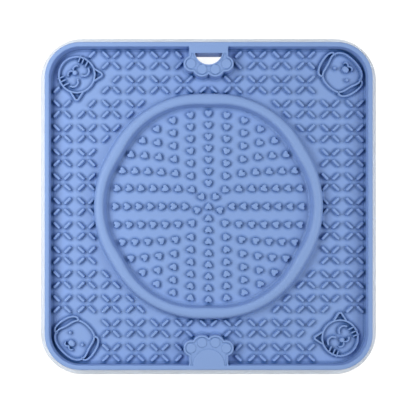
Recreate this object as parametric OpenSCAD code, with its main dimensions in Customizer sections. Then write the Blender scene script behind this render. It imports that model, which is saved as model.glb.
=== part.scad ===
// Silicone lick mat for cats and dogs: a square tray with a raised bowl ring, crossed ribs,
// heart nubs, animal faces in the corners, a hanging tab and suction cups underneath.
// The mat lies on the XY plane, its centre on the origin. +Y is the side with the hanging hole.

/* [Mat] */
// Width and depth of the mat over its pale edge
mat_w = 200; // [190:2:240]
// Thickness of the flat sheet
sheet_t = 2; // [1.2:0.2:4]
// Height of the outer rim over the sheet
rim_h = 7.5; // [6.6:0.1:12]
// Width of the outer rim
rim_w = 2.5; // [2.2:0.1:4]
// Outer corner radius of the rim
corner_r = 21; // [16:1:28]
// Width of the thin pale edge outside the rim
edge_w = 4; // [2:0.5:6]
// Thickness of the thin pale edge
edge_t = 1; // [0.6:0.1:1.8]

/* [Bowl] */
// How far the foot of the bowl ring lies inside the mat's pale edge
ring_inset = 30; // [28:0.5:34]
// Width of the bowl ring at its foot, at the middle of a petal
ring_w = 9.1; // [9:0.1:11]
// Height of the bowl ring over the sheet
ring_h = 7; // [6:0.1:9]
// Radius of each of the six inner arcs, as a share of the bowl's reach
petal_share = 0.772; // [0.74:0.002:0.86]
// How far the inner slope leans outward over its height
slope_run = 1; // [0.4:0.1:1.2]
// How far the outer wall leans inward over its height
ring_draft = 0.8; // [0.2:0.1:1]
// Radius of the fillet at the foot of the outer wall
ring_foot = 1.8; // [0.6:0.1:2]

/* [Heart nubs] */
// Width of one heart
heart_w = 4.4; // [3:0.1:5]
// Length of one heart from lobes to tip
heart_l = 4; // [3:0.1:4.6]
// Height of a heart over the floor
heart_h = 2.4; // [1.5:0.1:2.8]
// Room between the outermost circle of hearts and the ring
heart_clear = 1.48; // [1:0.02:3]
// Number of circles of hearts
heart_rings = 8; // [5:1:8]

/* [Crossed ribs] */
// Number of crosses along a side of the mat
cross_rows = 13; // [9:2:13]
// Distance from the rim's inner side to the middle of the outermost crosses
cross_inset = 6.8; // [6.3:0.1:8]
// Distance of each bar's centre from the cross centre, along X and along Y
bar_offset = 3.22; // [2.8:0.02:3.4]
// Length of a bar at its foot
bar_l = 5.5; // [3.6:0.1:5.5]
// Width of a bar at its foot
bar_w = 1.9; // [1.6:0.1:1.9]
// Width of a bar at its top
bar_top_w = 1.6; // [0.8:0.1:1.6]
// Height of a bar over the sheet
bar_h = 2.4; // [1:0.1:2.8]
// Least room between a bar and a neighbour
bar_gap = 0.1; // [0:0.1:0.5]

/* [Tabs] */
// Width of a tab where it leaves the rim
neck_w = 22.8; // [21:0.2:24]
// Radius of the two outer toes of a tab
outer_toe_r = 4.65; // [4.2:0.05:5]
// Radius of the two inner toes of a tab
inner_toe_r = 5.7; // [5:0.05:6]
// Width of the raised border of a tab
border_w = 1.1; // [0.8:0.1:1.2]
// Depth of the sunk field inside that border
relief = 0.35; // [0.2:0.05:0.8]
// Radius of the curved side of the hanging hole
hole_r = 8.15; // [6:0.05:8.2]
// Distance from the rim to the flat side of the hanging hole
hole_inset = 4.1; // [3.5:0.1:5]
// Radius of a small toe pad
toe_pad_r = 2.8; // [2:0.1:2.9]
// Radius of the palm pad
palm_r = 9.2; // [7:0.1:9.6]

/* [Faces] */
// Least room between the rim and a cat's head
cat_gap = 4.3; // [3.9:0.1:6]
// Least room between the rim and a dog's ears
dog_gap = 2; // [1.6:0.1:4]
// Radius of a cat's head, to the middle of its line
cat_r = 10.6; // [8:0.1:11]
// Half width of a dog's cheeks, to the middle of its line
dog_r = 11; // [8:0.1:11.2]
// Width of the raised lines
line_w = 1.25; // [0.8:0.05:1.4]
// Height of the raised lines over the sheet
line_h = 2.2; // [0.8:0.1:2.8]

/* [Suction cups] */
// Height of a suction cup
cup_h = 3.5; // [2.5:0.1:6]
// Radius of a suction cup at its lip
cup_r = 9; // [6:0.5:11]
// Radius of the stem that carries a cup
cup_stem_r = 4; // [2:0.1:5]
// Distance from the rim's inner side to the middle of the outermost cups
cup_inset = 24.5; // [14:0.5:40]
// Number of cups in a row and in a column
cup_rows = 4; // [2:1:4]

/* [Hidden] */
$fn = 96;
// Overrun of every cut
cut = 1;
quarter = 90;

// Levels
under_z = cup_h;
floor_z = under_z + sheet_t;
rim_top = floor_z + rim_h;
ring_top = floor_z + ring_h;

// Half widths of the rim
rim_out = mat_w / 2 - edge_w;
rim_in = rim_out - rim_w;
corner_in_r = corner_r - rim_w;

// Rounded edges
rim_round = 0.8;
foot_round = 0.8;
ring_round = 1.2;
crest_round = 2.6;
cup_lip = 0.7;
cup_lip_w = 0.9;
cup_dish = 1.5;

// The ring and the six petals of the bowl
ring_r = mat_w / 2 - ring_inset;
petals = 6;
petal_turn = 360 / petals;
petal_step = petal_turn / 12;
petal_mid = ring_r - ring_w;
petal_r = petal_share * petal_mid;
petal_shift = petal_mid - petal_r;
roll_steps = 4;

// Distance from one circle of hearts, one cross and one cup to the next
heart_pitch = (petal_reach(petal_turn / 2, petal_r) - heart_l / 2 - heart_clear) / heart_rings;
cross_reach = (cross_rows - 1) / 2;
cross_pitch = (rim_in - cross_inset) / cross_reach;
cup_reach = (cup_rows - 1) / 2;
cup_pitch = (rim_in - cup_inset) / cup_reach;

// Rounding of a heart's lobes and tip, in shares of its width, and how far out its flanks cut them
heart_lobe_share = 0.268;
heart_tip_share = 0.12;
flank_share = 0.985;

// Toes and toe pads of the tabs: sideways from the middle, and in from the rim
outer_toe_x = 10.05;
outer_toe_in = 10.3;
inner_toe_x = 3.9;
inner_toe_in = 12.2;
outer_pad_x = 10.3;
outer_pad_in = 10.3;
inner_pad_x = 3.85;
inner_pad_in = 13.6;
palm_in = 0.5;
outer_toe_at = [outer_toe_x, rim_in - outer_toe_in];
inner_toe_at = [inner_toe_x, rim_in - inner_toe_in];
outer_pad_at = [outer_pad_x, rim_in - outer_pad_in];
inner_pad_at = [inner_pad_x, rim_in - inner_pad_in];
palm_at = [0, rim_in - palm_in];
neck_round = 1.2;
hole_sag = 1.55;
hole_y = rim_in - hole_inset;
hole_centre_y = hole_y + hole_sag;
hole_border = 0.9;

// Faces
dog_reach_share = 1.17;
cat_at = rim_in - cat_gap - line_w / 2 - cat_r;
dog_at = rim_in - dog_gap - line_w / 2 - dog_reach_share * dog_r;
back_left = [-1, 1];
back_right = [1, 1];
front_left = [-1, -1];
front_right = [1, -1];
cat_back_room = 3.4;
cat_front_room = 4.9;
dog_room = 5;
ear_clear = 4.5;
cat_back_clear = cat_r + cat_back_room;
cat_front_clear = cat_r + cat_front_room;
dog_clear = dog_r + dog_room;
curve_steps = 4;
cap_steps = 6;
nose_step = 15;
// Width of the finest lines, in shares of the others'
thin_share = 0.85;

// Cat, in shares of its head radius: sideways, then up towards the mat's centre
ear_reach_share = 1.3;
ear_round_share = 0.113;
ear_side_share = 0.45;
ear_half_angle = 32;
whisker_shares = [[0.6, -0.45], [0.66, -0.25], [0.68, 0]];
whisker_lean_share = -0.33;
cat_eye_shares = [[0.157, 0.217], [0.255, 0.35], [0.434, 0.41], [0.613, 0.35], [0.717, 0.217]];
cat_mouth_shares = [[0, -0.29], [0.09, -0.375], [0.2, -0.41], [0.31, -0.385], [0.385, -0.31]];
cat_nose_share = 0.14;
cat_nose_at_share = -0.16;

// Dog, in shares of its half width: sideways, then up towards the mat's centre
dog_face_shares = [
    [0, 0.873], [0.327, 0.841], [0.591, 0.736], [0.736, 0.536], [0.809, 0.255], [0.882, -0.009],
    [0.982, -0.255], [1.014, -0.455], [0.964, -0.655], [0.809, -0.855], [0.491, -1.005], [0, -1.055]];
dog_ear_shares = [
    [0.591, 0.736], [0.782, 0.791], [0.964, 0.673], [1.109, 0.427], [1.209, 0.073],
    [1.236, -0.218], [1.2, -0.445], [1.091, -0.564], [0.96, -0.56]];
dog_mouth_shares = [[0, -0.6], [0.06, -0.66], [0.15, -0.69], [0.235, -0.665], [0.275, -0.6]];
dog_nose_shares = [0.2, 0.165];
dog_nose_at_share = -0.405;
dog_eye_share = 0.088;
dog_eye_at_shares = [0.46, -0.05];

// Colours
mat_blue = [0.53, 0.65, 0.86];
pad_blue = [0.5, 0.62, 0.83];
rib_blue = [0.6, 0.71, 0.92];
edge_pale = [0.86, 0.92, 1];

// A list turned round
function reversed(list) = [for (i = [len(list) - 1 : -1 : 0]) list[i]];

// Places mirrored to the other side
function mirrored(places) = [for (p = places) [-p.x, p.y]];

// Shares made into places
function sized(shares, size) = [for (s = shares) s * size];

// One point between b and c of a smooth curve through a, b, c and d
function between(a, b, c, d, t) =
    (2 * b + (c - a) * t + (2 * a - 5 * b + 4 * c - d) * t * t
    + (3 * b - a - 3 * c + d) * t * t * t) / 2;

// A smooth open curve through the places
function open_curve(places) = let (last = len(places) - 1) [
    for (i = [0 : last - 1], s = [0 : curve_steps - 1])
        between(places[max(i - 1, 0)], places[i], places[i + 1], places[min(i + 2, last)],
            s / curve_steps),
    places[last]];

// A smooth closed curve through the places
function closed_curve(places) = let (n = len(places)) [
    for (i = [0 : n - 1], s = [0 : curve_steps - 1])
        between(places[(i + n - 1) % n], places[i], places[(i + 1) % n], places[(i + 2) % n],
            s / curve_steps)];

// A point of a path moved to its left by a shift
function beside(path, i, closed, shift) =
    let (n = len(path),
        before = closed ? path[(i + n - 1) % n] : path[max(i - 1, 0)],
        after = closed ? path[(i + 1) % n] : path[min(i + 1, n - 1)],
        along = (after - before) / norm(after - before))
    path[i] + shift * [-along.y, along.x];

// The whole path moved to its left by a shift
function beside_all(path, closed, shift) =
    [for (i = [0 : len(path) - 1]) beside(path, i, closed, shift)];

// A half circle round the end of a line, from its left to its right
function cap(from, to, r) =
    let (heading = atan2(to.y - from.y, to.x - from.x))
    [for (k = [1 : cap_steps - 1])
        let (a = heading + quarter - 2 * quarter * k / cap_steps)
        to + r * [cos(a), sin(a)]];

// A line of even width with round ends
module stroke(path, w) {
    n = len(path);
    polygon(concat(
        beside_all(path, false, w / 2),
        cap(path[n - 2], path[n - 1], w / 2),
        reversed(beside_all(path, false, -w / 2)),
        cap(path[1], path[0], w / 2)));
}

// A rounded square
module rounded_square(half, r) {
    square([2 * half, 2 * (half - r)], center = true);
    square([2 * (half - r), 2 * half], center = true);
    for (x = [-1, 1], y = [-1, 1])
        translate([x * (half - r), y * (half - r)]) circle(r);
}

// A profile carried round a rounded square: its X is outward from the square, its Y is up
module carried_round(half, r) {
    for (side = [0 : 3]) rotate(side * quarter) {
        translate([half, 0, 0]) rotate([quarter, 0, 0])
            linear_extrude(2 * (half - r), center = true) children();
        translate([half - r, half - r, 0]) rotate_extrude(angle = quarter)
            translate([r, 0]) children();
    }
}

// The outline of both tabs, drawn on the +Y side, drawn in by a margin
module tab_outline(margin) {
    for (side = [-1, 1]) {
        translate([side * outer_toe_at.x, outer_toe_at.y]) circle(outer_toe_r - margin);
        translate([side * inner_toe_at.x, inner_toe_at.y]) circle(inner_toe_r - margin);
    }
    polygon([
        [-outer_toe_at.x, outer_toe_at.y], [-inner_toe_at.x, inner_toe_at.y],
        [inner_toe_at.x, inner_toe_at.y], [outer_toe_at.x, outer_toe_at.y],
        [neck_w / 2 - margin, outer_toe_at.y], [neck_w / 2 - margin, rim_in],
        [margin - neck_w / 2, rim_in], [margin - neck_w / 2, outer_toe_at.y]]);
}

// The small fillets where a tab's neck runs into the rim
module neck_fillets() {
    for (side = [-1, 1]) difference() {
        translate([side * (neck_w / 2 + neck_round / 2), rim_in - neck_round / 2])
            square(neck_round, center = true);
        translate([side * (neck_w / 2 + neck_round), rim_in - neck_round]) circle(neck_round);
    }
}

module tab_plan() {
    tab_outline(0);
    neck_fillets();
}

// The D-shaped hanging hole
module hole_outline() {
    intersection() {
        translate([0, hole_centre_y]) circle(hole_r);
        translate([0, hole_y - hole_r]) square(2 * hole_r, center = true);
    }
}

module toe_pad_circles() {
    for (side = [-1, 1]) {
        translate([side * outer_pad_at.x, outer_pad_at.y]) circle(toe_pad_r);
        translate([side * inner_pad_at.x, inner_pad_at.y]) circle(toe_pad_r);
    }
}

// How far the bowl reaches at an angle off a petal's middle, for an arc radius
function petal_reach(off, r) = petal_shift * cos(off) + sqrt(r * r - pow(petal_shift * sin(off), 2));

// The bowl's inner outline at an arc radius: six arcs that meet in soft points
function petal_points(r) = [for (a = [0 : petal_step : 359])
    let (off = abs((a + petal_turn / 2) % petal_turn - petal_turn / 2))
    petal_reach(off, r) * [cos(a), sin(a)]];

// A solid through layers of points, each layer over the last
module stacked(layers) {
    n = len(layers[0]);
    top = len(layers) - 1;
    polyhedron(
        [for (layer = layers) each layer],
        concat(
            [[for (i = [0 : n - 1]) i]],
            [for (k = [0 : top - 1], i = [0 : n - 1]) each [
                [k * n + i, (k + 1) * n + i, (k + 1) * n + (i + 1) % n],
                [k * n + i, (k + 1) * n + (i + 1) % n, k * n + (i + 1) % n]]],
            [[for (i = [n - 1 : -1 : 0]) top * n + i]]));
}

module base_sheet() {
    color(mat_blue) translate([0, 0, under_z]) linear_extrude(sheet_t) difference() {
        rounded_square(rim_in, corner_in_r);
        circle(ring_r);
        tab_plan();
        mirror([0, 1]) tab_plan();
    }
}

module edge_skirt() {
    color(edge_pale) carried_round(rim_out, corner_r) {
        translate([0, under_z]) square([edge_w - edge_t / 2, edge_t]);
        translate([edge_w - edge_t / 2, under_z + edge_t / 2]) circle(edge_t / 2);
    }
}

// Rim: rounded at both top edges, with a small fillet at its inner foot
module outer_rim() {
    color(mat_blue) carried_round(rim_out, corner_r) {
        translate([-rim_w, under_z]) square([rim_w, rim_top - rim_round - under_z]);
        translate([rim_round - rim_w, under_z]) square([rim_w - 2 * rim_round, rim_top - under_z]);
        for (x = [rim_round - rim_w, -rim_round])
            translate([x, rim_top - rim_round]) circle(rim_round);
        difference() {
            translate([-rim_w - foot_round, floor_z]) square(foot_round);
            translate([-rim_w - foot_round, floor_z + foot_round]) circle(foot_round);
        }
    }
}

module bowl_floor() {
    color(mat_blue) translate([0, 0, under_z])
        linear_extrude(sheet_t) polygon(petal_points(petal_r));
}

// The ring's cross-section before its inside is hollowed: a rounded crest and a leaning outer wall
// with a fillet at its foot
module ring_profile() {
    inner = petal_r - ring_round;
    wall = ring_r - ring_foot;
    lip = wall - ring_draft;
    crest = lip - crest_round;
    polygon([
        [inner, under_z], [ring_r, under_z], [ring_r, floor_z], [wall, floor_z],
        [wall, floor_z + ring_foot], [lip, ring_top - crest_round], [inner, ring_top - crest_round]]);
    translate([inner, under_z]) square([crest - inner, ring_top - under_z]);
    translate([crest, ring_top - crest_round]) circle(crest_round);
    difference() {
        translate([wall, floor_z]) square(ring_foot);
        translate([ring_r, floor_z + ring_foot]) circle(ring_foot);
    }
}

// Radius and height of the bowl's inner side, from under the sheet to over the crest
function bowl_side() =
    let (lip = petal_r + slope_run, lean = atan2(slope_run, ring_h), roll = quarter - lean)
    concat(
        [[petal_r, under_z - cut], [petal_r, floor_z]],
        [for (k = [0 : roll_steps])
            let (a = lean + roll * k / roll_steps)
            [lip + ring_round * (1 - cos(a)), ring_top - ring_round + ring_round * sin(a)]],
        [[lip + ring_round, ring_top + cut]]);

// Ring: hollowed by the six arcs, whose slope rolls over into the crest
module bowl_ring() {
    color(mat_blue) difference() {
        rotate_extrude() ring_profile();
        stacked([for (s = bowl_side()) [for (p = petal_points(s[0])) [p.x, p.y, s[1]]]]);
    }
}

module hanging_tab() {
    color(mat_blue) difference() {
        translate([0, 0, under_z]) linear_extrude(rim_top - under_z) tab_plan();
        translate([0, 0, under_z - cut]) linear_extrude(rim_top - under_z + 2 * cut) hole_outline();
        translate([0, 0, rim_top - relief]) linear_extrude(relief + cut) difference() {
            tab_outline(border_w);
            translate([0, hole_centre_y]) circle(hole_r + hole_border);
            translate([0, rim_in]) square([neck_w, 2 * hole_inset], center = true);
        }
    }
}

module paw_tab() {
    color(mat_blue) mirror([0, 1]) difference() {
        translate([0, 0, under_z]) linear_extrude(rim_top - under_z) tab_plan();
        translate([0, 0, rim_top - relief]) linear_extrude(relief + cut) tab_outline(border_w);
    }
}

module hanging_tab_toe_pads() {
    color(pad_blue) translate([0, 0, rim_top - relief]) linear_extrude(relief) toe_pad_circles();
}

module paw_tab_toe_pads() {
    color(pad_blue) translate([0, 0, rim_top - relief]) mirror([0, 1])
        linear_extrude(relief) toe_pad_circles();
}

module paw_tab_palm_pad() {
    color(pad_blue) translate([0, 0, rim_top - relief]) mirror([0, 1])
        linear_extrude(relief) intersection() {
            translate(palm_at) circle(palm_r);
            tab_outline(border_w);
        }
}

// Raised lines of a face, set in its corner and turned so that its crown looks at the mat's centre
module in_corner(corner, reach) {
    color(rib_blue) translate([corner.x * reach, corner.y * reach, floor_z])
        rotate(atan2(-corner.y, -corner.x) - quarter) children();
}

module raised() {
    linear_extrude(line_h) children();
}

// One ear: two straight sides and a round tip, drawn towards the upper right
function ear_path() =
    let (axis = quarter / 2, tip = cat_r * ear_reach_share * [cos(axis), sin(axis)],
        r = cat_r * ear_round_share, l = cat_r * ear_side_share, turn = quarter - ear_half_angle)
    concat(
        [tip + r * [cos(axis - turn), sin(axis - turn)]
            - l * [cos(axis + ear_half_angle), sin(axis + ear_half_angle)]],
        [for (k = [-cap_steps / 2 : cap_steps / 2])
            let (a = axis + turn * 2 * k / cap_steps) tip + r * [cos(a), sin(a)]],
        [tip + r * [cos(axis + turn), sin(axis + turn)]
            - l * [cos(axis - ear_half_angle), sin(axis - ear_half_angle)]]);

module cat_head_lines() {
    raised() difference() {
        circle(cat_r + line_w / 2);
        circle(cat_r - line_w / 2);
    }
}

module cat_ear_lines() {
    raised() difference() {
        union() {
            stroke(ear_path(), line_w);
            mirror([1, 0]) stroke(ear_path(), line_w);
        }
        circle(cat_r + line_w / 2);
    }
}

module cat_whisker_lines() {
    raised() intersection() {
        for (side = [0, 1]) mirror([side, 0]) for (s = whisker_shares)
            stroke([s * cat_r, [1, s.y + (1 - s.x) * whisker_lean_share] * cat_r], line_w * thin_share);
        circle(cat_r - line_w / 2);
    }
}

module cat_feature_lines() {
    for (side = [0, 1]) mirror([side, 0]) {
        raised() stroke(open_curve(sized(cat_eye_shares, cat_r)), line_w);
        raised() stroke(open_curve(sized(cat_mouth_shares, cat_r)), line_w * thin_share);
    }
    raised() translate([0, cat_nose_at_share * cat_r]) circle(cat_nose_share * cat_r);
}

function dog_face_path() =
    let (half = sized(dog_face_shares, dog_r), n = len(half))
    closed_curve(concat(half, [for (i = [n - 2 : -1 : 1]) [-half[i].x, half[i].y]]));

module dog_head_lines() {
    raised() difference() {
        polygon(beside_all(dog_face_path(), true, line_w / 2));
        polygon(beside_all(dog_face_path(), true, -line_w / 2));
    }
}

module dog_ear_lines() {
    raised() difference() {
        for (side = [0, 1]) mirror([side, 0]) stroke(open_curve(sized(dog_ear_shares, dog_r)), line_w);
        polygon(beside_all(dog_face_path(), true, line_w / 2));
    }
}

module dog_feature_lines() {
    for (side = [0, 1]) mirror([side, 0]) {
        raised() translate(dog_eye_at_shares * dog_r) circle(dog_eye_share * dog_r);
        raised() stroke(open_curve(sized(dog_mouth_shares, dog_r)), line_w * thin_share);
    }
    raised() translate([0, dog_nose_at_share * dog_r]) polygon([
        for (a = [0 : nose_step : 359]) dog_r * [dog_nose_shares.x * cos(a), dog_nose_shares.y * sin(a)]]);
}

// One bar of a cross, with leaning sides and round ends
module bar() {
    straight = bar_l - bar_w;
    rotate([quarter, 0, quarter]) linear_extrude(straight, center = true)
        polygon([[-bar_w / 2, 0], [bar_w / 2, 0], [bar_top_w / 2, bar_h], [-bar_top_w / 2, bar_h]]);
    for (side = [-1, 1])
        translate([side * straight / 2, 0, 0]) cylinder(h = bar_h, d1 = bar_w, d2 = bar_top_w);
}

// Room that a bar's centre needs round a curved neighbour, and how far it may lie in the ring's foot
bar_room = bar_l / 2 + bar_gap;
bar_sink = 0.95;

// Places of the tips of a cat's ears
ear_tip = cat_r * (ear_reach_share + ear_round_share);
cat_corners = [back_left, front_right];
ear_tips = [for (c = cat_corners) each [
    [c.x * (cat_at - ear_tip), c.y * cat_at],
    [c.x * cat_at, c.y * (cat_at - ear_tip)]]];

function off_ring(p) = norm(p) > ring_r - bar_sink;
function off_tabs(p) =
    let (q = [abs(p.x), abs(p.y)])
    norm(q - outer_toe_at) > outer_toe_r + bar_room
    && norm(q - inner_toe_at) > inner_toe_r + bar_room
    && (q.x > neck_w / 2 + bar_room || q.y < inner_toe_at.y);
function off_face(p, at, room) = norm(p - at) > room;
function off_ears(p) = min([for (t = ear_tips) norm(p - t)]) > ear_clear;
function off_corner(p) =
    norm([for (v = p) max(abs(v) + corner_in_r - rim_in, 0)]) < corner_in_r;
function bar_fits(p) =
    off_ring(p) && off_tabs(p) && off_ears(p) && off_corner(p)
    && off_face(p, cat_at * back_left, cat_back_clear) && off_face(p, cat_at * front_right, cat_front_clear)
    && off_face(p, dog_at * back_right, dog_clear) && off_face(p, dog_at * front_left, dog_clear);

// The side of the mat that a cross belongs to
function side_of(i, j) = j >= abs(i) ? "back" : -j >= abs(i) ? "front" : i < 0 ? "left" : "right";

module cross_ribs(side) {
    color(rib_blue) difference() {
        translate([0, 0, floor_z]) for (i = [-cross_reach : cross_reach], j = [-cross_reach : cross_reach])
            if (side_of(i, j) == side) for (x = [-1, 1], y = [-1, 1]) {
                at = [i * cross_pitch + x * bar_offset, j * cross_pitch + y * bar_offset];
                if (bar_fits(at)) translate(at) rotate(x * y * quarter / 2) bar();
            }
        rotate_extrude() ring_profile();
    }
}

// A heart: two round lobes towards +Y, a rounded tip and the straight flanks between them
module heart_nub() {
    lobe_r = heart_lobe_share * heart_w;
    tip_r = heart_tip_share * heart_w;
    lobe = [heart_w / 2 - lobe_r, heart_l / 2 - lobe_r];
    tip = [0, tip_r - heart_l / 2];
    reach = tip - lobe;
    facing = atan2(reach.y, reach.x) + acos((lobe_r - tip_r) / norm(reach));
    out = [cos(facing), sin(facing)];
    flank = [lobe + flank_share * lobe_r * out, tip + flank_share * tip_r * out];
    for (side = [-1, 1]) translate([side * lobe.x, lobe.y]) cylinder(h = heart_h, r = lobe_r);
    translate(tip) cylinder(h = heart_h, r = tip_r);
    linear_extrude(heart_h) polygon(concat([[0, lobe.y]], flank, reversed(mirrored(flank))));
}

module heart_nub_centre() {
    color(rib_blue) translate([0, 0, floor_z]) rotate(2 * quarter) heart_nub();
}

// Circle of hearts with their tips to the centre: five in the first, then four more in each
module heart_circle(k) {
    count = k == 1 ? 5 : 4 * k;
    color(rib_blue) translate([0, 0, floor_z]) for (n = [0 : count - 1])
        rotate(n * 360 / count - 2 * quarter) translate([0, k * heart_pitch]) heart_nub();
}

// Suction cup: a stem that flares into a thin dish
module suction_cup(row, column) {
    dish_r = cup_r - cup_lip_w;
    bend = (dish_r * dish_r + cup_dish * cup_dish) / (2 * cup_dish);
    color(mat_blue) translate([(column - cup_reach) * cup_pitch, (row - cup_reach) * cup_pitch, 0])
        rotate_extrude() difference() {
            polygon([
                [0, 0], [cup_r, 0], [cup_r, cup_lip], [cup_stem_r, cup_h - cup_lip],
                [cup_stem_r, cup_h], [0, cup_h]]);
            translate([0, cup_dish - bend]) circle(bend);
            translate([-cup_r, -cut]) square([cup_r, cup_h + 2 * cut]);
        }
}

function cup_name(row, column) = str("suction_cup_", row * cup_rows + column + 1);

base_sheet();
edge_skirt();
outer_rim();
bowl_floor();
bowl_ring();
hanging_tab();
hanging_tab_toe_pads();
paw_tab();
paw_tab_toe_pads();
paw_tab_palm_pad();
in_corner(back_left, cat_at) cat_head_lines();  // cat_head_back_left
in_corner(back_left, cat_at) cat_ear_lines();  // cat_ears_back_left
in_corner(back_left, cat_at) cat_whisker_lines();  // cat_whiskers_back_left
in_corner(back_left, cat_at) cat_feature_lines();  // cat_features_back_left
in_corner(front_right, cat_at) cat_head_lines();  // cat_head_front_right
in_corner(front_right, cat_at) cat_ear_lines();  // cat_ears_front_right
in_corner(front_right, cat_at) cat_whisker_lines();  // cat_whiskers_front_right
in_corner(front_right, cat_at) cat_feature_lines();  // cat_features_front_right
in_corner(back_right, dog_at) dog_head_lines();  // dog_head_back_right
in_corner(back_right, dog_at) dog_ear_lines();  // dog_ears_back_right
in_corner(back_right, dog_at) dog_feature_lines();  // dog_features_back_right
in_corner(front_left, dog_at) dog_head_lines();  // dog_head_front_left
in_corner(front_left, dog_at) dog_ear_lines();  // dog_ears_front_left
in_corner(front_left, dog_at) dog_feature_lines();  // dog_features_front_left
cross_ribs("back");  // cross_ribs_back
cross_ribs("front");  // cross_ribs_front
cross_ribs("left");  // cross_ribs_left
cross_ribs("right");  // cross_ribs_right
heart_nub_centre();
for (k = [1 : heart_rings])
    heart_circle(k);
for (row = [0 : cup_rows - 1], column = [0 : cup_rows - 1])
    suction_cup(row, column);
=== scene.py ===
import bpy
import numpy as np
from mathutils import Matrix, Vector


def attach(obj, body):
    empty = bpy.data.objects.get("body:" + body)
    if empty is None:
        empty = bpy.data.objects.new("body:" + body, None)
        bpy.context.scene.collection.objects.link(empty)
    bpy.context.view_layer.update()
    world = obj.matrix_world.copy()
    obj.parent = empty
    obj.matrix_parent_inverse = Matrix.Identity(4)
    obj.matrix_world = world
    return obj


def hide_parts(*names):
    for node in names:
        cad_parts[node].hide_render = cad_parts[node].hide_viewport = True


# Lengths of pieces are in millimetres, from the mat's middle and up from what it stands on. Both tabs are
# worked out at the back, and the faces with the crown up: placed turns them.
mm = 0.001
levels = {"under": 3.5, "floor": 5.5, "ring": 12.5, "rim": 13.0}  # the sheet's two sides and the highest tops
under, floor = levels["under"], levels["floor"]
hair = 0.01  # keeps touching faces out of one plane

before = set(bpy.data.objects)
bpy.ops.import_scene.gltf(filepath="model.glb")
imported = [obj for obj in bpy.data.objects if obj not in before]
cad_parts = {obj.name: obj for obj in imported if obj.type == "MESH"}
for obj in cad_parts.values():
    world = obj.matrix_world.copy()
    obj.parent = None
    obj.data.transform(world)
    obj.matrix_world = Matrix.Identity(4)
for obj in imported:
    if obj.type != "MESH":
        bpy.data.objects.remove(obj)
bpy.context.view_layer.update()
print("frame loaded")


# A shader socket. A sum, difference or product with it adds the Math node for it.
class Wire:
    def __init__(self, shader, socket):
        self.shader, self.socket = shader, socket

    def maths(self, kind, first, second):
        return self.shader.node("ShaderNodeMath", {0: first, 1: second}, operation=kind)

    def __add__(self, other):
        return self.maths("ADD", self, other)

    def __radd__(self, other):
        return self.maths("ADD", other, self)

    def __sub__(self, other):
        return self.maths("SUBTRACT", self, other)

    def __rsub__(self, other):
        return self.maths("SUBTRACT", other, self)

    def __mul__(self, other):
        return self.maths("MULTIPLY", self, other)

    def __rmul__(self, other):
        return self.maths("MULTIPLY", other, self)


# The nodes of one material or of the world
class Shader:
    def __init__(self, owner):
        owner.use_nodes = True
        self.tree = owner.node_tree
        self.tree.nodes.clear()

    def node(self, kind, inputs=None, output=0, **settings):
        made = self.tree.nodes.new(kind)
        for key, value in settings.items():
            setattr(made, key, value)
        for key, value in (inputs or {}).items():
            if isinstance(value, Wire):
                self.tree.links.new(value.socket, made.inputs[key])
            else:
                made.inputs[key].default_value = value
        return Wire(self, made.outputs[output]) if made.outputs else made

    def noise(self, scale, detail):
        place = self.node("ShaderNodeTexCoord", output="Object")
        return self.node("ShaderNodeTexNoise", {"Vector": place, "Scale": scale, "Detail": detail})

    def mixColours(self, share, first, second):  # sockets 6 and 7 are the colours, and 2 is their mixture
        return self.node("ShaderNodeMix", {0: share, 6: (*first, 1), 7: (*second, 1)}, output=2,
                         data_type="RGBA")


# Painted shade: within reach (in metres) of a foot or a corner the colour is darkened towards a shade colour,
# the more so the more closed in the place is, and the gain says how fast
siliconeLook = {
    "colour": (0.26, 0.40, 0.74), "deep": (0.03, 0.105, 0.31), "reach": 0.0022, "depth": 2.0,
    "roughness": 0.5, "uneven": 0.1, "ior": 1.41, "shine": 0.35, "clear": 0.0,
    "cloudScale": 45.0, "cloud": 0.05, "grainScale": 1400.0, "grain": 0.04,
    "bump": 0.15, "bumpHeight": 0.0002}
# The pale edge's painted shade colour is a slightly darker pale blue
paleLook = {**siliconeLook, "colour": (0.92, 0.96, 1.0), "deep": (0.84, 0.90, 0.98), "roughness": 0.45,
            "clear": 0.4, "cloud": 0.02, "grain": 0.016, "bump": 0.05}


# Silicone: its colour darkened with painted shade by the share of the space near it that is closed in, times
# one plus a faint cloud and a fine grain. The grain also makes the gloss and the surface slightly uneven.
def silicone(name, look):
    material = bpy.data.materials.new(name)
    shader = Shader(material)
    cloud = shader.noise(look["cloudScale"], 3.0)
    grain = shader.noise(look["grainScale"], 2.0)
    # Painted shade: the ambient occlusion share darkens the colour at feet, in creases and in corners
    closed = 1 - shader.node("ShaderNodeAmbientOcclusion", {"Distance": look["reach"]}, output="AO",
                             samples=8)
    base = shader.mixColours(closed * look["depth"], look["colour"], look["deep"])
    tone = 1 + (cloud - 0.5) * look["cloud"] + (grain - 0.5) * look["grain"]
    colour = shader.node("ShaderNodeVectorMath", {0: base, "Scale": tone}, operation="SCALE")
    normal = shader.node("ShaderNodeBump", {"Strength": look["bump"], "Distance": look["bumpHeight"],
                                            "Height": grain})
    surface = shader.node("ShaderNodeBsdfPrincipled", {
        "Base Color": colour, "Roughness": look["roughness"] + (grain - 0.5) * look["uneven"],
        "Normal": normal,
        "IOR": look["ior"], "Specular IOR Level": look["shine"], "Transmission Weight": look["clear"]})
    shader.node("ShaderNodeOutputMaterial", {"Surface": surface})
    return material


finishes = {"silicone_blue": silicone("silicone_blue", siliconeLook),
            "silicone_pale": silicone("silicone_pale", paleLook)}
print("materials made")


# The points of a grid as one list, and its quads, with each row's last point joined to its first
def gridOf(points):
    rows, columns = points.shape[:2]
    i, j = np.meshgrid(np.arange(rows - 1), np.arange(columns), indexing="ij")
    k = (j + 1) % columns
    faces = [i * columns + j, i * columns + k, (i + 1) * columns + k, (i + 1) * columns + j]
    return points.reshape(-1, 3), np.stack(faces, -1).reshape(-1, 4)


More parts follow.
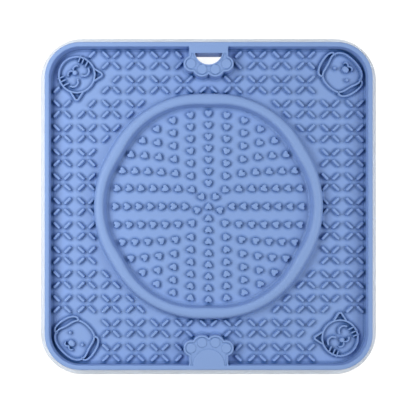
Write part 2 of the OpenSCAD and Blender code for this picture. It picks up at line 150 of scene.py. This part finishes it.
# One smooth mesh from several lists of points and faces, in place of the named nodes
def makePiece(name, parts, nodes, slot="silicone_blue"):
    starts = np.cumsum([0] + [len(points) for points, faces in parts])
    points = np.concatenate([points for points, faces in parts]) * mm
    faces = np.concatenate([faces + start for (points, faces), start in zip(parts, starts)])
    mesh = bpy.data.meshes.new(name)
    mesh.from_pydata(points, [], faces)
    mesh.polygons.foreach_set("use_smooth", np.ones(len(faces), dtype=bool))
    mesh.materials.append(finishes[slot])
    mesh.update()
    piece = bpy.data.objects.new(name, mesh)
    bpy.context.scene.collection.objects.link(piece)
    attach(piece, "root")
    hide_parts(*nodes)


# Unit vectors: the cosine and sine of angles in degrees
def headings(degrees):
    a = np.radians(degrees)
    return np.stack([np.cos(a), np.sin(a)], -1)


# Arc of a profile: its centre plus the radius times the headings from one angle to another
def arc(centre, radius, start, end, steps=5):
    turns = np.linspace(start, end, steps)
    return [(centre[0] + radius * x, centre[1] + radius * y) for x, y in headings(turns)]


# Surface along a path: for each row of a profile, the path moved outward by its first value, at the height
# of its second
def swept(path, out, profile):
    profile = np.array(profile)
    flat = path[None] + profile[:, 0, None, None] * out[None]
    return np.concatenate([flat, np.broadcast_to(profile[:, 1, None, None], (*flat.shape[:2], 1))], -1)


# Outward direction at each point of a closed path: the line from the point some steps before it to the point
# as many steps after it, turned a quarter turn to the right
def outwardOf(path, steps=1):
    along = np.roll(path, -steps, 0) - np.roll(path, steps, 0)
    out = np.stack([along[:, 1], -along[:, 0]], -1)
    return out / np.linalg.norm(out, axis=1)[:, None]


# Copies of one small shape: its points turned by each angle in degrees and moved to each place
def placed(shape, places, turns):
    points, faces = shape
    turns = np.asarray(turns, dtype=float)
    turned = np.stack([headings(turns), headings(turns + 90)], 1)
    flat = np.einsum("mi,kij->kmj", points[:, :2], turned) + np.asarray(places)[:, None, :2]
    high = np.broadcast_to(points[None, :, 2:], (len(turns), len(points), 1))
    every = np.arange(len(turns))[:, None, None] * len(points) + faces[None]
    return np.concatenate([flat, high], -1).reshape(-1, 3), every.reshape(-1, 4)


# Half of a ridge's profile, from its filleted foot to its crest: widths from the middle line, and heights.
# An arc's middle lies at about 0.3 of its radius from its two tangents.
def ridge(half, topHalf, height, foot, rounding):
    bend, top, flat = 0.3, floor + height, 0.1
    return [(half + foot, floor - hair), (half + bend * foot, floor + bend * foot), (half, floor + foot),
            (topHalf, top - rounding), (topHalf - bend * rounding, top - bend * rounding),
            (max(topHalf - rounding, flat), top), (0, top)]


# Ridge along an open path: out along its right side, round its end, back along its left side and round its
# start, with the profile's rows moved in and up from there
def stroke(path, profile, steps=5):
    path = np.asarray(path, dtype=float)
    along = np.gradient(path, axis=0)
    along /= np.linalg.norm(along, axis=1)[:, None]
    right = np.stack([along[:, 1], -along[:, 0]], -1)
    cosine, sine = headings(np.linspace(0, 180, steps + 2)[1:-1]).T[..., None]
    loop = np.concatenate([path, np.repeat(path[-1:], steps, 0), path[::-1], np.repeat(path[:1], steps, 0)])
    out = np.concatenate([right, cosine * right[-1] + sine * along[-1],
                          -right[::-1], -cosine * right[0] - sine * along[0]])
    return gridOf(swept(loop, out, profile))


# Smooth curve through the given points: between two of them a cubic, whose slope at each one is half the way
# from the point before it to the point after it
def smooth(places, closed=False, steps=6):
    places = np.asarray(places, dtype=float)
    if closed:
        a, b, c, d = (np.roll(places, k, 0) for k in (1, 0, -1, -2))
    else:
        full = np.concatenate([places[:1], places, places[-1:]])
        a, b, c, d = full[:-3], full[1:-2], full[2:-1], full[3:]
    t = np.linspace(0, 1, steps, endpoint=False)[None, :, None]
    a, b, c, d = (p[:, None] for p in (a, b, c, d))
    curve = 2 * b + (c - a) * t + (2 * a - 5 * b + 4 * c - d) * t ** 2 + (3 * b - a - 3 * c + d) * t ** 3
    curve = curve.reshape(-1, 2) / 2
    return curve if closed else np.concatenate([curve, places[-1:]])


rimLook = {"half": 96.0, "radius": 21.0, "width": 2.8, "sheetAt": 2.5, "rounding": 0.7, "foot": 0.7}
edgeLook = {"width": 4.0, "thickness": 1.0, "foot": 0.6, "overlap": 0.1}
rimInside = rimLook["half"] - rimLook["width"]


# Square with round corners: each corner's centre plus the radius times the headings of its quarter turn
def roundedSquare(half, radius, steps=25):
    out = headings(np.concatenate([np.linspace(0, 90, steps) + 90 * k for k in range(4)]))
    centres = np.repeat([[1, 1], [-1, 1], [-1, -1], [1, -1]], steps, 0) * (half - radius)
    return centres + radius * out, out


square, squareOut = roundedSquare(rimLook["half"], rimLook["radius"])


# Rim: the square with a profile of a fillet on the pale edge, a wall with a rounded top, and a fillet on
# the sheet
def outerRim():
    w, r, f, e = rimLook["width"], rimLook["rounding"], rimLook["foot"], edgeLook["foot"]
    top, edgeTop = levels["rim"], under + edgeLook["thickness"]
    profile = (arc((e, edgeTop + e), e, 270, 180) + arc((-r, top - r), r, 0, 90)
               + arc((r - w, top - r), r, 90, 180) + arc((-w - f, floor + f - hair), f, 0, -90))
    underside = [(-rimLook["sheetAt"], under), (0, under)]
    return [gridOf(swept(square, squareOut, rows)) for rows in (profile, underside)]


# Pale edge: the square with a thin flat profile that ends in a half circle
def edgeSkirt():
    w, half = edgeLook["width"], edgeLook["thickness"] / 2
    profile = [(0, under), *arc((w - half, under + half), half, -90, 90, 9),
               (-edgeLook["overlap"], under + 2 * half)]
    return [gridOf(swept(square, squareOut, profile))]


makePiece("outerRim", outerRim(), ["outer_rim"])
makePiece("edgeSkirt", edgeSkirt(), ["edge_skirt"], "silicone_pale")
print("rim made")

ringLook = {
    "arc": 47.01, "shift": 13.89, "softness": 3,  # the lobes' radius, their centres' way out, their blur
    "wall": 67.5, "lobing": 0.5, "flange": 70.02, "crown": 0.15, "crownTurn": 4.0,
    "outerFoot": 1.8, "outerLean": 0.6, "outerRound": 2.6,
    "innerFoot": 1.5, "innerLean": 0.6, "innerRound": 2.2}


# Inside of the bowl's ring: six arcs, each about a centre that is shifted towards its own lobe. The reach
# from the middle is the shift along the ray, plus the root of the arc's radius squared less the shift beside
# the ray squared. Averaged over its neighbours, it has soft corners between lobes.
def lobeReach(degrees):
    fromLobe = headings(np.abs((degrees + 30) % 60 - 30))
    along, beside = ringLook["shift"] * fromLobe.T
    reach = along + np.sqrt(ringLook["arc"] ** 2 - beside ** 2)
    near = range(-ringLook["softness"], ringLook["softness"] + 1)
    return np.mean([np.roll(reach, k) for k in near], 0)


# Bowl ring as rows of reach and height, from the outside in: a flange, a fillet, a leaning wall that follows
# a share of the lobes, a slightly crowned top, and the inner slope down to its fillet
def bowlRing():
    degrees = np.arange(0, 360, 1.5)
    inside = lobeReach(degrees)
    wall = ringLook["wall"] + (inside - inside.mean()) * ringLook["lobing"]
    top, turn = levels["ring"] - ringLook["crown"], ringLook["crownTurn"]
    f, r = ringLook["outerFoot"], ringLook["outerRound"]
    outer = (arc((f, floor + f + hair), f, 270, 180, 7)
             + arc((-ringLook["outerLean"] - r, top - r), r, 0, 90 - turn, 9))
    f, r = ringLook["innerFoot"], ringLook["innerRound"]
    slope = (arc((ringLook["innerLean"] + r, top - r), r, 90 + turn, 180, 8)
             + arc((-f, floor + f - hair), f, 0, -90))
    flange = np.full(len(degrees), ringLook["flange"])
    rows = [(flange, floor + hair)] + [(wall + x, z) for x, z in outer]
    crown = (rows[-1][0] + inside + slope[0][0]) / 2
    rows += [(crown, levels["ring"])] + [(inside + x, z) for x, z in slope]
    underside = [(inside, under), (flange, under)]
    rays = headings(degrees)
    return [gridOf(np.stack([np.column_stack([rays * reach[:, None], np.full(len(rays), high)])
                             for reach, high in side])) for side in (rows, underside)]


makePiece("bowlRing", bowlRing(), ["bowl_ring"])
print("ring made")

# A heart's profile: ways outward, with heights from the floor at its foot and from its top at its crest
heartLook = {
    "width": 4.4, "length": 4.0, "height": 2.4, "lobe": 1.2, "tip": 1.1, "middle": 0.1,
    "foot": ((0.2, -hair), (-0.02, 0.2)), "crest": ((-0.15, -0.3), (-0.2, -0.1), (-0.35, 0)),
    "pitch": 6.88, "rings": 8}


# Heart: in every direction, the farthest reach of discs that run from each lobe to the tip. A ray leaves a
# disc at the disc's middle along the ray, plus the root of what the disc's radius leaves beside the ray.
def heartShape():
    width, length, lobe, tip = (heartLook[key] for key in ("width", "length", "lobe", "tip"))
    lobeDisc = np.array([width / 2 - lobe, length / 2 - lobe, lobe])
    tipDisc = np.array([0, tip - length / 2, tip])
    share = np.linspace(0, 1, 14)[:, None]
    discs = np.concatenate([lobeDisc * [side, 1, 1] * (1 - share) + tipDisc * share for side in (-1, 1)])
    middles, radii = discs[:, :2], discs[:, 2]
    rays = headings(90 + np.arange(0, 360, 18))
    along = rays @ middles.T
    left = radii ** 2 - (middles ** 2).sum(1) + along ** 2
    outline = rays * np.where(left > 0, along + np.sqrt(np.maximum(left, 0)), 0).max(1)[:, None]
    top = floor + heartLook["height"]
    profile = ([(out, floor + up) for out, up in heartLook["foot"]]
               + [(out, top + up) for out, up in heartLook["crest"]])
    centre = np.broadcast_to([0, heartLook["middle"], top], (1, len(rays), 3))
    return gridOf(np.concatenate([swept(outline, outwardOf(outline), profile), centre]))


# Hearts stand on circles, with their tips to the middle
heart = heartShape()
makePiece("heartNubCentre", [placed(heart, [(0, 0)], [180])], ["heart_nub_centre"])
for k in range(1, heartLook["rings"] + 1):
    count = 5 if k == 1 else 4 * k
    turns = np.arange(count) * 360 / count - 180
    places = headings(turns + 90) * k * heartLook["pitch"]
    makePiece(f"heartNubsRing{k}", [placed(heart, places, turns)], [f"heart_nubs_ring_{k}"])
print("hearts made")

# Toes and pads are each a way beside the middle line, a way back and a radius
tabLook = {
    "outerToe": (10.05, 83.2, 4.65), "innerToe": (3.9, 81.3, 5.7),
    "outerPad": (10.3, 83.2, 2.8), "innerPad": (3.85, 79.9, 2.8), "palm": (0, 93.0, 9.2),
    "neck": 11.4, "flare": 0.35, "flareLength": 1.2, "back": 94.4, "middle": 86.3, "search": 22.0,
    "foot": 0.9, "edge": 0.55, "edgeTurn": 75, "sunk": 0.005, "border": 1.1, "relief": 0.35, "slope": 0.3}
holeLook = {"flat": 89.4, "centre": 90.95, "radius": 8.15, "border": 0.9, "edge": 0.3, "edgeTurn": 105}


# How far inside a round toe or pad a place is: the radius less the distance from the middle
def insideRound(disc, x, y):
    return disc[2] - np.hypot(np.abs(x) - disc[0], y - disc[1])


# How far inside a tab a place is, below zero outside: the most of its toes and of its body, which lies
# between the neck's sides, the toes' middles and the rim. The neck widens with the square of the way into
# its flare.
def insideTab(x, y, margin=0.0):
    toes = np.maximum(*[insideRound(tabLook[toe], x, y) - margin for toe in ("outerToe", "innerToe")])
    length = tabLook["flareLength"]
    flare = tabLook["flare"] * np.clip(y - (rimInside - length), 0, length) ** 2 / length
    neck = tabLook["neck"] + flare - margin - np.abs(x)
    return np.maximum(toes, np.min([neck, y - tabLook["outerToe"][1], tabLook["back"] - y], 0))


# How far inside the hole a place is: within its circle and in front of its flat side
def insideHole(x, y):
    return np.minimum(holeLook["radius"] - np.hypot(x, y - holeLook["centre"]), holeLook["flat"] - y)


# Smooth step from 0 to 1 over the relief's slope, centred on zero: three squares less two cubes
def step(value):
    t = np.clip(value / tabLook["slope"] + 0.5, 0, 1)
    return t * t * (3 - 2 * t)


# Height of a tab's top: a shallow field inside a border, with the pads, the rim's side and the hole's border
# flush with the top
def tabTop(x, y, hole):
    flush = [insideRound(tabLook["outerPad"], x, y), insideRound(tabLook["innerPad"], x, y), y - rimInside]
    if hole:
        bordered = holeLook["radius"] + holeLook["border"] - np.hypot(x, y - holeLook["centre"])
        flush += [bordered, y - holeLook["flat"]]
    else:
        flush.append(insideRound(tabLook["palm"], x, y))
    field = step(insideTab(x, y, tabLook["border"])) * (1 - step(np.max(flush, 0)))
    return levels["rim"] - tabLook["sunk"] - tabLook["relief"] * field


# Where a shape ends along each ray from the tab's middle: its first sample outside, moved back to where the
# line from the sample before it crosses zero
def rayEnd(inside, rays):
    reach = np.linspace(0, tabLook["search"], 1500)
    value = inside(rays[:, :1] * reach, tabLook["middle"] + rays[:, 1:] * reach)
    each, first = np.arange(len(rays)), np.argmax(value < 0, axis=1)
    near, past = value[each, first - 1], value[each, first]
    return reach[first - 1] + reach[1] * near / (near - past)


# Tab as loops round its middle: the foot's fillet, the wall, the rounded edge and the top's relief, in to
# the middle, or to the hole and down its wall
def tab(hole):
    rays = headings(np.arange(0, 360, 1.2))
    middle = np.array([0, tabLook["middle"]])
    outline = middle + rays * rayEnd(insideTab, rays)[:, None]
    out = outwardOf(outline, 3)
    f, r, top = tabLook["foot"], tabLook["edge"], levels["rim"]
    wall = swept(outline, out, (arc((f, floor + f - hair), f, 270, 180)
                                + arc((-r, top - r), r, 0, tabLook["edgeTurn"])))
    edge = holeLook["edge"]
    end = middle + rays * (rayEnd(insideHole, rays)[:, None] + edge if hole else 0)
    share = np.linspace(0, 1, 80)[:, None, None]
    flat = (outline - out * r) * (1 - share) + end * share
    loops = [wall, np.concatenate([flat, tabTop(flat[..., 0], flat[..., 1], hole)[..., None]], -1)]
    if hole:
        rounding = arc((0, top - edge), edge, holeLook["edgeTurn"], 180, 4)
        loops.append(swept(end, rays, rounding + [(-edge, under)]))
    bottom = [end - rays * edge if hole else end, outline + out * f]
    base = np.stack([np.pad(path, ((0, 0), (0, 1)), constant_values=under + hair) for path in bottom])
    return [gridOf(np.concatenate(loops)), gridOf(base)]


makePiece("hangingTab", tab(True), ["hanging_tab", "hanging_tab_toe_pads"])
makePiece("pawTab", [placed(part, [(0, 0)], [180]) for part in tab(False)],
          ["paw_tab", "paw_tab_toe_pads", "paw_tab_palm_pad"])
print("tabs made")

# Both kinds of face lie at one distance from the mat's middle lines; size is the head's radius
catLook = {"at": 77.975, "size": 10.6, "ear": 1.3, "earTip": 0.113, "earSide": 0.45, "earTurn": 32,
           "whiskers": ((0.6, -0.45), (0.66, -0.25), (0.68, 0)), "droop": 0.33}
dogLook = {"at": 78.005, "size": 11.0}
barLook = {
    "cells": 6, "pitch": 14.45, "offset": 3.22, "length": 5.5, "width": 1.8, "topWidth": 1.35, "height": 2.4,
    "foot": 0.35, "rounding": 0.2, "gap": 0.1, "ringRoom": 69.05, "backCatRoom": 14.0, "frontCatRoom": 15.5,
    "dogRoom": 16.0, "earRoom": 4.5, "cornerAt": 75.0, "cornerRoom": 18.5}


# Distance of every bar from a place
def distance(places, x, y):
    return np.hypot(places[:, 0] - x, places[:, 1] - y)


# Crossed ribs: four bars round every crossing of one lattice, each turned to point at the crossing
half = (barLook["length"] - barLook["width"]) / 2
bar = stroke([(-half, 0), (half, 0)], ridge(barLook["width"] / 2, barLook["topWidth"] / 2, barLook["height"],
                                            barLook["foot"], barLook["rounding"]), 4)
cells = range(-barLook["cells"], barLook["cells"] + 1)
i, j, x, y = (v.ravel() for v in np.meshgrid(cells, cells, (-1, 1), (-1, 1), indexing="ij"))
at = np.stack([i, j], -1) * barLook["pitch"] + np.stack([x, y], -1) * barLook["offset"]
away = np.abs(at)

# Bars are left out where the ring, the tabs, the faces, the ears' tips or the corners need room
room = barLook["length"] / 2 + barLook["gap"]
kept = np.hypot(*at.T) > barLook["ringRoom"]
for toeX, toeY, radius in (tabLook["outerToe"], tabLook["innerToe"]):
    kept &= distance(away, toeX, toeY) > radius + room
kept &= (away[:, 0] > tabLook["neck"] + room) | (away[:, 1] < tabLook["innerToe"][1])
for sx, sy in ((1, 1), (-1, -1)):
    kept &= distance(at, sx * dogLook["at"], sy * dogLook["at"]) > barLook["dogRoom"]
tips = catLook["at"] - catLook["size"] * (catLook["ear"] + catLook["earTip"])
for sx, sy, clear in ((-1, 1, barLook["backCatRoom"]), (1, -1, barLook["frontCatRoom"])):
    kept &= distance(at, sx * catLook["at"], sy * catLook["at"]) > clear
    kept &= distance(at, sx * tips, sy * catLook["at"]) > barLook["earRoom"]
    kept &= distance(at, sx * catLook["at"], sy * tips) > barLook["earRoom"]
kept &= np.hypot(*np.maximum(away - barLook["cornerAt"], 0).T) < barLook["cornerRoom"]

sides = {"Back": j >= abs(i), "Front": -j >= abs(i), "Left": (i < 0) & (abs(j) < abs(i)),
         "Right": (i > 0) & (abs(j) < abs(i))}
for side, own in sides.items():
    chosen = kept & own
    makePiece(f"crossRibs{side}", [placed(bar, at[chosen], (x * y * 45)[chosen])],
              [f"cross_ribs_{side.lower()}"])
print("ribs made:", int(kept.sum()))

# Lines of the faces: fine is the share of the width that the whiskers and the mouths have
lineLook = {"width": 1.25, "height": 2.2, "lean": 0.1, "foot": 0.25, "rounding": 0.3, "fine": 0.85,
            "fineFoot": 0.2, "noseHeight": 2.25}
line = lineLook["width"] / 2
thick = ridge(line, line - lineLook["lean"], lineLook["height"], lineLook["foot"], lineLook["rounding"])
fine = ridge(line * lineLook["fine"], line * lineLook["fine"] - lineLook["lean"], lineLook["height"],
             lineLook["fineFoot"], lineLook["rounding"])
mirror = np.array([-1, 1])


# A path and its mirror image
def both(path):
    path = np.asarray(path, dtype=float)
    return [path, path * mirror]


# Line round a closed path: the profile's rows outside it, then the same rows backwards inside it
def closedLine(path):
    return gridOf(swept(path, outwardOf(path), thick + [(-out, up) for out, up in thick[-2::-1]]))


# Round nose or eye: a short stroke with a wide, low crest
def knob(centre, reach, half, lean, height, rounding, steps):
    centre = np.asarray(centre, dtype=float)
    return stroke([centre - [reach, 0], centre + [reach, 0]],
                  ridge(half, half - lean, height, lineLook["fineFoot"], rounding), steps)


# Mouth: one side's points, the dip in the middle and the other side's, as a smooth fine line
def mouthLine(side, dip):
    return stroke(smooth(np.concatenate([side * mirror, [dip], side[::-1]])), fine)


# Cat's face, crown up, in shares of the head's radius: a circle, ears of two straight sides and a round tip,
# three whiskers on each cheek that end at the head, closed eyes, a nose and a mouth
def catParts():
    size, lean = catLook["size"], catLook["earTurn"]
    tip = headings(np.linspace(lean - 45, 135 - lean, 9)) * catLook["earTip"] * size
    tip += headings(45) * catLook["ear"] * size
    low, high = (headings(45 + side * lean) * catLook["earSide"] * size for side in (1, -1))
    ear = np.concatenate([[tip[0] - low], tip, [tip[-1] - high]])
    whiskers = [[(x, y), (np.sqrt(1 - y ** 2), y - (1 - x) * catLook["droop"])]
                for x, y in catLook["whiskers"]]
    eye = smooth(size * np.array([
        (0.157, 0.217), (0.255, 0.35), (0.434, 0.41), (0.613, 0.35), (0.717, 0.217)]))
    mouth = size * np.array([(0.385, -0.31), (0.31, -0.385), (0.2, -0.41), (0.09, -0.375)])
    nose = knob((0, -0.16 * size), 0.05, 0.14 * size, lineLook["lean"], lineLook["noseHeight"], 0.5, 11)
    return {"Head": [closedLine(size * headings(np.arange(0, 360, 4)))],
            "Ears": [stroke(path, thick) for path in both(ear)],
            "Whiskers": [stroke(path * size, fine) for whisker in whiskers for path in both(whisker)],
            "Features": [*[stroke(path, thick) for path in both(eye)],
                         mouthLine(mouth, (0, -0.29 * size)), nose]}


# Dog's face, crown up, in shares of the head's radius: a long head, hanging ears, round eyes, a wide nose
# and a mouth
def dogParts():
    size = dogLook["size"]
    side = size * np.array([
        (0, 0.873), (0.327, 0.841), (0.591, 0.736), (0.736, 0.536), (0.809, 0.255), (0.882, -0.009),
        (0.982, -0.255), (1.014, -0.455), (0.964, -0.655), (0.809, -0.855), (0.491, -1.005), (0, -1.055)])
    head = smooth(np.concatenate([side, (side * mirror)[-2:0:-1]]), True, 5)[::-1]
    ear = smooth(size * np.array([
        (0.591, 0.736), (0.782, 0.791), (0.964, 0.673), (1.109, 0.427), (1.209, 0.073),
        (1.236, -0.218), (1.2, -0.445), (1.091, -0.564), (0.96, -0.56)]))
    eyes = [knob(centre, 0.02, 0.97, 0.12, lineLook["height"], 0.4, 9)
            for centre in both([0.46 * size, -0.05 * size])]
    mouth = size * np.array([(0.275, -0.6), (0.235, -0.665), (0.15, -0.69), (0.06, -0.66)])
    nose = knob((0, -0.405 * size), 0.4, 1.8, lineLook["lean"], lineLook["noseHeight"], 0.6, 11)
    return {"Head": [closedLine(head)], "Ears": [stroke(path, thick) for path in both(ear)],
            "Features": [*eyes, mouthLine(mouth, (0, -0.6 * size)), nose]}


# Each face stands in two opposite corners, with its crown to the corner's outside
for kind, look, parts, corners in (("cat", catLook, catParts(), ((-1, 1), (1, -1))),
                                   ("dog", dogLook, dogParts(), ((1, 1), (-1, -1)))):
    for sx, sy in corners:
        words = ["back" if sy > 0 else "front", "left" if sx < 0 else "right"]
        turn = np.degrees(np.arctan2(-sy, -sx)) - 90
        for part, shapes in parts.items():
            makePiece(kind + part + "".join(word.title() for word in words),
                      [placed(shape, [(sx * look["at"], sy * look["at"])], [turn]) for shape in shapes],
                      ["_".join([kind, part.lower(), *words])])
print("faces made")

# The flat sheet, the bowl's floor and the suction cups keep the solids' own shape
for name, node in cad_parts.items():
    if name in ("base_sheet", "bowl_floor") or name.startswith("suction_cup"):
        node.data.materials.clear()
        node.data.materials.append(finishes["silicone_blue"])

# Lamps' places and sizes are in metres. The floor is matte to the light. Where it is seen it glows a little
# under white, and a lit matte share on top of that keeps the object's shadow.
lightLook = {
    "world": 0.19, "white": 1.0, "floor": 0.6, "glow": 0.94, "shadow": 0.35, "floorSize": 6,
    "key": {"place": (-0.27, 0.05, 0.33), "size": (0.4, 0.2), "power": 1.34},
    "fill": {"place": (0.45, -0.03, 0.4), "size": (0.4, 0.3), "power": 1.47}}


# Rays that see the plain white background: those of the camera, of reflections and through clear things
def seenBy(shader):
    camera, glossy, clear = (shader.node("ShaderNodeLightPath", output=name)
                             for name in ("Is Camera Ray", "Is Glossy Ray", "Is Transmission Ray"))
    return camera + glossy + clear


def grey(share):
    return (share, share, share, 1)


def stageMaterial():
    material = bpy.data.materials.new("stage")
    shader = Shader(material)
    matte = shader.node("ShaderNodeBsdfDiffuse", {"Color": grey(lightLook["floor"])})
    glow = shader.node("ShaderNodeEmission", {"Color": grey(1), "Strength": lightLook["glow"]})
    lit = shader.node("ShaderNodeBsdfDiffuse", {"Color": grey(lightLook["shadow"])})
    shown = shader.node("ShaderNodeAddShader", {0: glow, 1: lit})
    surface = shader.node("ShaderNodeMixShader", {0: seenBy(shader), 1: matte, 2: shown})
    shader.node("ShaderNodeOutputMaterial", {"Surface": surface})
    return material


bpy.ops.mesh.primitive_plane_add(size=lightLook["floorSize"], location=(0, 0, 0))
stage = bpy.context.object
stage.name = "floor"
stage.data.materials.append(stageMaterial())

world = bpy.data.worlds.new("world")
bpy.context.scene.world = world
sky = Shader(world)
lighting = sky.node("ShaderNodeBackground", {"Color": grey(1), "Strength": lightLook["world"]})
white = sky.node("ShaderNodeBackground", {"Color": grey(1), "Strength": lightLook["white"]})
sky.node("ShaderNodeOutputWorld", {
    "Surface": sky.node("ShaderNodeMixShader", {0: seenBy(sky), 1: lighting, 2: white})})


# Area lamp that faces the middle of the mat
def lamp(name, place, size, power):
    data = bpy.data.lights.new(name, "AREA")
    data.shape, data.size, data.size_y, data.energy = "RECTANGLE", *size, power
    made = bpy.data.objects.new(name, data)
    made.location = place
    made.rotation_mode = "QUATERNION"
    made.rotation_quaternion = Vector(place).to_track_quat("Z", "Y")
    bpy.context.scene.collection.objects.link(made)


lamp("key", **lightLook["key"])
lamp("fill", **lightLook["fill"])

# The camera looks straight down from in front and to the left of the middle, and lens shift frames the mat
cameraLook = {"place": (-9.0, -20.0, 433.0), "lens": 62.2, "sensor": 36, "shift": (0.0354, 0.0773),
              "near": 0.01}
camera = bpy.data.objects.new("camera", bpy.data.cameras.new("camera"))
camera.location = Vector(cameraLook["place"]) * mm
camera.data.lens = cameraLook["lens"]
camera.data.sensor_width = cameraLook["sensor"]
camera.data.shift_x, camera.data.shift_y = cameraLook["shift"]
camera.data.clip_start = cameraLook["near"]
bpy.context.scene.collection.objects.link(camera)
bpy.context.scene.camera = camera
bpy.context.scene.view_settings.view_transform = "Standard"
print("stage made")
